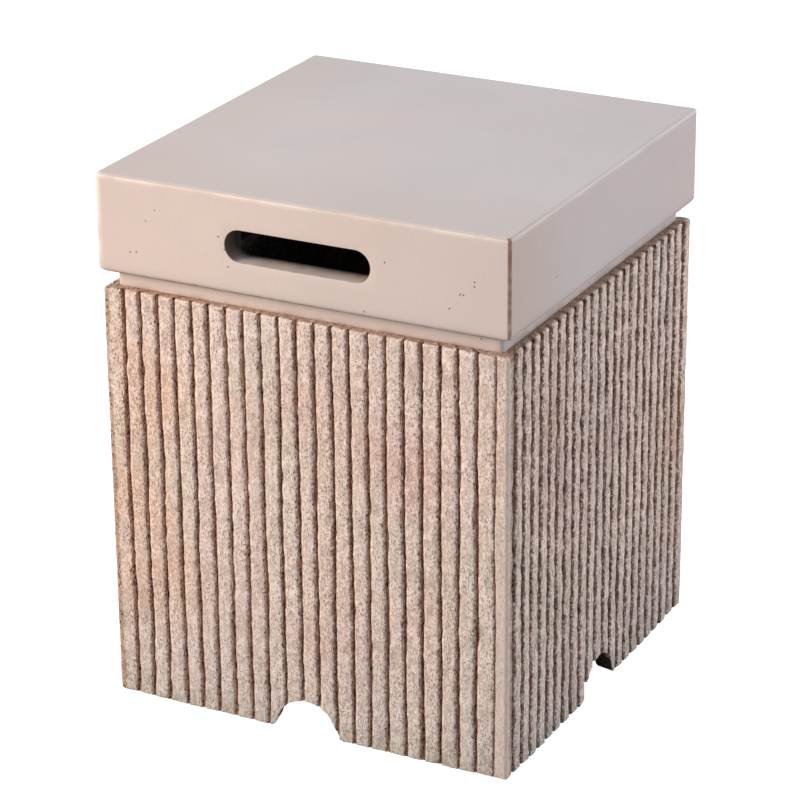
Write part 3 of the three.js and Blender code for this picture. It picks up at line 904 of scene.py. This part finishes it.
greyer = mixed(tree, stretch(tree, upright, 0.0, 0.17, 0.75, 0.0), with_orange, grey_low)
mossy = mixed(tree, stretch(tree, upright, 0.004, 0.035, 0.6, 0.0), greyer, (0.56, 0.545, 0.46, 1))
print(f"{len(orange_places)} peach and {len(pink_places)} pink patches")

# %% [markdown]
# Then the sand. Every grain is lighter or darker than the next, single ones are nearly white or nearly
# black, and pits hold dirt. The single grains stand in rough patches with calmer stone between them, and
# the posts at the near corner are smooth.
# %% Ribbed stone: sand
sand = use_group(tree, grain, {"Vector": own, "Grains": 520.0, "Specks": 1.0})
shade = total(tree, sand.outputs["Tone"], product(tree, tint, 0.15))
shade_dark = mixed(tree, stain, (0.66, 0.60, 0.55, 1), (0.84, 0.78, 0.74, 1))
shade_light = mixed(tree, stain, (1.24, 1.21, 1.18, 1), (1.12, 1.12, 1.12, 1))
shade_colour = mixed(tree, shade, shade_dark, shade_light)
sanded = mixed(tree, 1.0, mossy, shade_colour, "MULTIPLY")
pitted = mixed(tree, stretch(tree, deep_pits, 0.45, 1.0, 0.0, 0.3), sanded, (0.42, 0.31, 0.25, 1))
roughened = stretch(tree, cloud(tree, own, 34.0, 3.3, 0.43, 0.55), 0.0, 1.0, 0.15, 1.0)
smoother = product(tree, stretch(tree, flank, -0.8, 0.3, 0.5, 1.0), roughened)
speck_amount = product(tree, sand.outputs["Specks"], 0.85, smoother)
specked = mixed(tree, speck_amount, pitted, (0.36, 0.25, 0.195, 1))
light_colour = mixed(tree, stain, (0.98, 0.83, 0.72, 1), (1.0, 0.92, 0.85, 1))
lit = mixed(tree, product(tree, sand.outputs["Lights"], 0.75, roughened), specked, light_colour)
smooth_colour = mixed(tree, stain, (0.96, 0.715, 0.54, 1), (0.67, 0.575, 0.54, 1))
smoothed = mixed(tree, product(tree, read_value(tree, "smooth"), 0.85), lit, smooth_colour)
print(f"{len(tree.nodes)} nodes so far")

# %% [markdown]
# Last the brown wash, thin on the shoulders and the rim and thick in the grooves. It stops at a ragged
# line, because it was rubbed off the crests. Past full wash comes painted shade, nearly black, on the
# underside and the right side's toe. The cavity is raw cement.
# %% Ribbed stone: wash and painted shade
near_groove = stretch(tree, arithmetic(tree, "ABSOLUTE", flank), 0.5, 1.0, 0.08, 1.0)
torn = product(tree, arithmetic(tree, "SUBTRACT", 0.5, sand.outputs["Tone"]), near_groove)
# The flank that faces the near corner gets a little more wash, as painted shade, the other flank a little
# less.
uneven = total(tree, torn, product(tree, deep_pits, 0.1), product(tree, flank, 0.1))
wash_and_shade_depth = total(tree, wash_and_shade, uneven)
thin_wash = mixed(tree, stain, (0.44, 0.30, 0.22, 1), (0.56, 0.36, 0.26, 1))
thin = mixed(tree, stretch(tree, wash_and_shade_depth, 0.3, 0.48, 0.0, 0.9), smoothed, thin_wash)
thick_wash = mixed(tree, stain, (0.32, 0.18, 0.115, 1), (0.62, 0.38, 0.26, 1))
thick = mixed(tree, stretch(tree, wash_and_shade_depth, 0.5, 0.9), thin, thick_wash)
# Painted shade: past full wash the colour goes nearly black, on the underside and the right side's toe.
in_shade = mixed(tree, stretch(tree, wash_and_shade_depth, 1.15, 1.45), thick, (0.08, 0.046, 0.044, 1))
black_pits = product(tree, sand.outputs["Specks"], stretch(tree, wash_and_shade_depth, 0.3, 0.6, 0.0, 0.85))
washed_and_shaded = mixed(tree, black_pits, in_shade, (0.05, 0.032, 0.025, 1))
raw_cement = mixed(tree, 1.0, (0.36, 0.315, 0.28, 1), shade_colour, "MULTIPLY")
stone = mixed(tree, read_value(tree, "within"), washed_and_shaded, raw_cement)
tree.links.new(stone, shader.inputs["Base Color"])
tree.links.new(sand.outputs["Height"], bump.inputs["Height"])
body.data.materials.append(ribbed_stone)
print(f"{ribbed_stone.name}: {len(tree.nodes)} nodes")

# %% [markdown]
# Smooth stone is the same cement without the sand. It is nearly even, with faint clouds, and warmer in
# places. Its edges show a brown line where they were rubbed, and a painted highlight in patches below the
# top edge and on the front left corner. Wash and painted shade lie in the strip under the cap, along the
# cap's lower edge and in the slot.
# %% Smooth stone: colour, wear, painted highlight and shade
smooth_stone, tree, shader, own, bump = start_material("smooth stone", 0.52, 0.0006, 0.4)
haze = cloud(tree, own, 5.0, 1.3, 0.35, 0.65)
blush = cloud(tree, own, 9.0, 6.2, 0.48, 0.7)
rubbed = cloud(tree, own, 60.0, 2.0, 0.3, 0.6)
patchy = cloud(tree, own, 16.0, 4.0, 0.4, 0.55)
stain = read_value(tree, "stain")
plain = mixed(tree, haze, (0.67, 0.565, 0.51, 1), (0.72, 0.60, 0.535, 1))
blushed = mixed(tree, product(tree, blush, 0.35), plain, (0.74, 0.565, 0.48, 1))
warmed = mixed(tree, read_value(tree, "warmth"), blushed, (0.68, 0.52, 0.42, 1))
dust = use_group(tree, grain, {"Vector": own, "Grains": 900.0, "Specks": 0.1})
light_dust = stretch(tree, dust.outputs["Tone"], 0.0, 1.0, 0.985, 1.015)
dust_channels = {channel: light_dust for channel in range(3)}
dust_colour = add_node(tree, "ShaderNodeCombineColor", dust_channels).outputs[0]
dusted = mixed(tree, 1.0, warmed, dust_colour, "MULTIPLY")
# Painted highlight, in patches, below the top edge and on the front left corner.
painted_highlight = product(tree, read_value(tree, "painted_highlight"), stretch(tree, patchy, 0.0, 1.0, 0.1, 1.0))
brightened = mixed(tree, painted_highlight, dusted, (0.98, 0.88, 0.78, 1))
worn_line = stretch(tree, read_value(tree, "worn"), 0.3, 1.0, 0.0, 0.95)
worn_amount = product(tree, worn_line, stretch(tree, rubbed, 0.0, 1.0, 0.45, 1.0))
worn_colour = mixed(tree, stain, (0.62, 0.53, 0.48, 1), (0.38, 0.185, 0.10, 1))
worn_edge = mixed(tree, worn_amount, brightened, worn_colour)
rubbed_away = product(tree, arithmetic(tree, "SUBTRACT", rubbed, 0.5), 0.3)
# The lid's wash value also holds painted shade under the cap, on the strip and in the slot.
wash_and_shade_edge = total(tree, read_value(tree, "wash_and_shade"), rubbed_away)
strip_colour = mixed(tree, stain, (0.27, 0.235, 0.19, 1), (0.36, 0.20, 0.125, 1))
lid_washed_and_shaded = mixed(tree, stretch(tree, wash_and_shade_edge, 0.15, 0.9, 0.0, 0.9), worn_edge, strip_colour)
print(f"{len(tree.nodes)} nodes so far")

# %% [markdown]
# A few pinholes are left to chance. The others stand on the front where the real one has them.
# %% Smooth stone: pinholes and painted shade inside
front_holes = [(-139, 478), (-148, 467), (-165, 436), (-159, 437), (-70, 453), (-67, 438), (-76, 464),
               (84, 466), (167, 462), (167, 458), (154, 449), (157, 449), (144, 435), (64, 419)]
placed_holes = spots(tree, own, 0.5, [(x, -lid_half, z, 0.95) for x, z in front_holes])
chance_holes = use_group(tree, pinholes, {"Vector": own, "Spacing": 30.0, "Size": 0.03, "Kept": 0.2})
hole_mask = arithmetic(tree, "MAXIMUM", chance_holes.outputs["Mask"], placed_holes)
holed = mixed(tree, product(tree, hole_mask, 0.85), lid_washed_and_shaded, (0.10, 0.06, 0.045, 1))
# Painted shade: the inside of the lid and the deep part of the slot are painted nearly black.
dark_inside_shade = mixed(tree, read_value(tree, "within"), holed, (0.06, 0.05, 0.042, 1))
tree.links.new(dark_inside_shade, shader.inputs["Base Color"])
smooth_height = arithmetic(tree, "SUBTRACT", product(tree, dust.outputs["Height"], 0.12), hole_mask)
tree.links.new(smooth_height, bump.inputs["Height"])
lid.data.materials.append(smooth_stone)
print(f"{smooth_stone.name}: {len(tree.nodes)} nodes")

# %% [markdown]
# Rubber: black, dull, a little dusty.
# %% Material: black rubber
black_rubber, tree, shader, own, bump = start_material("black rubber", 0.8, 0.0002, 0.4)
rubber_grain = use_group(tree, grain, {"Vector": own, "Grains": 1500.0, "Specks": 0.2})
rubber_colour = mixed(tree, stretch(tree, rubber_grain.outputs["Tone"], 0.2, 0.9, 0.0, 0.5),
                      (0.018, 0.017, 0.016, 1), (0.045, 0.042, 0.038, 1))
tree.links.new(rubber_colour, shader.inputs["Base Color"])
tree.links.new(rubber_grain.outputs["Height"], bump.inputs["Height"])
pads = [node for name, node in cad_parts.items() if "pad" in name]
for pad in pads:
    pad.data.materials.clear()
    pad.data.materials.append(black_rubber)
print(f"{len(pads)} rubber pads")

# %% [markdown]
# The photograph was cut out on white, without a shadow. So the floor looks white to the camera, while for
# all other rays it is a pale grey one that throws back a third of the light.
# %% Floor
studio_half = 9
floor_corners = [(x * studio_half, y * studio_half, 0) for x, y in ((-1, -1), (1, -1), (1, 1), (-1, 1))]
floor_mesh = bpy.data.meshes.new("floor")
floor_mesh.from_pydata(floor_corners, [], [(0, 1, 2, 3)])
floor = bpy.data.objects.new("floor", floor_mesh)
bpy.context.scene.collection.objects.link(floor)
floor_paint, tree, shader, own, bump = start_material("white floor", 0.9, 0.0001, 0.0)
tree.nodes.remove(bump)
shader.inputs["Base Color"].default_value = (0.35, 0.35, 0.36, 1)
shader.inputs["Emission Color"].default_value = (1.0, 1.0, 1.0, 1)
seen = add_node(tree, "ShaderNodeLightPath")
tree.links.new(seen.outputs["Is Camera Ray"], shader.inputs["Emission Strength"])
floor.data.materials.append(floor_paint)
print(f"{floor.name}: {2 * studio_half} m square")

# %% [markdown]
# Studio light: a large warm softbox at the front left, a pinker one behind the right corner that grazes
# the right side, and a dim cool room. The front gets the most light, the right side the least, and there
# the flank of every rib that faces the camera stays dark.
# %% Light
world = bpy.data.worlds.new("studio")
world.use_nodes = True
room = world.node_tree.nodes["Background"]
room.inputs["Color"].default_value = (0.675, 0.83, 1.0, 1)
room.inputs["Strength"].default_value = 0.8
bpy.context.scene.world = world


def softbox(name, place, aim, size, watts, colour):
    """A square area light at a place, turned to face its aim."""
    lamp = bpy.data.lights.new(name, "AREA")
    lamp.shape = "SQUARE"
    lamp.size, lamp.energy, lamp.color = size, watts, colour
    holder = bpy.data.objects.new(name, lamp)
    bpy.context.scene.collection.objects.link(holder)
    holder.location = place
    holder.rotation_euler = (Vector(aim) - Vector(place)).to_track_quat("-Z", "Y").to_euler()
    print(f"{name}: {watts} W over {size} m")


softbox("key", (-1.9, -1.7, 1.3), (0, 0, 0.25), 1.2, 65, (1.0, 0.77, 0.57))
softbox("right side", (3.0, 3.0, 1.1), (0.1, 0, 0.25), 1.6, 73, (1.0, 0.845, 0.82))

# %% [markdown]
# The camera was found by fitting the photograph's edges to the CAD sizes: a long lens, about two and a
# half metres away, looking down at the front right corner, and rolled by half a degree.
# %% Camera
azimuth, elevation, roll = radians(27.329), radians(22.516), radians(-0.483)
distance, target = 2.4561, Vector((0.2035, -0.4056, 0.4408))
side_axis = Vector((cos(azimuth), sin(azimuth), 0))
back_axis = Vector((sin(azimuth) * cos(elevation), -cos(azimuth) * cos(elevation), sin(elevation)))
up_axis = back_axis.cross(side_axis)
rolled_side = side_axis * cos(roll) + up_axis * sin(roll)
rolled_up = up_axis * cos(roll) - side_axis * sin(roll)
lens = bpy.data.cameras.new("camera")
lens.sensor_width, lens.lens = 36.0, 144.27
lens.clip_end = 50
camera = bpy.data.objects.new("camera", lens)
bpy.context.scene.collection.objects.link(camera)
turn = Matrix((rolled_side, rolled_up, back_axis)).transposed().to_4x4()
camera.matrix_world = Matrix.Translation(target + back_axis * distance) @ turn
bpy.context.scene.camera = camera
bpy.context.scene.view_settings.view_transform = "Standard"
print(f"camera {distance:.2f} m from its target, {lens.lens:.2f} mm lens")
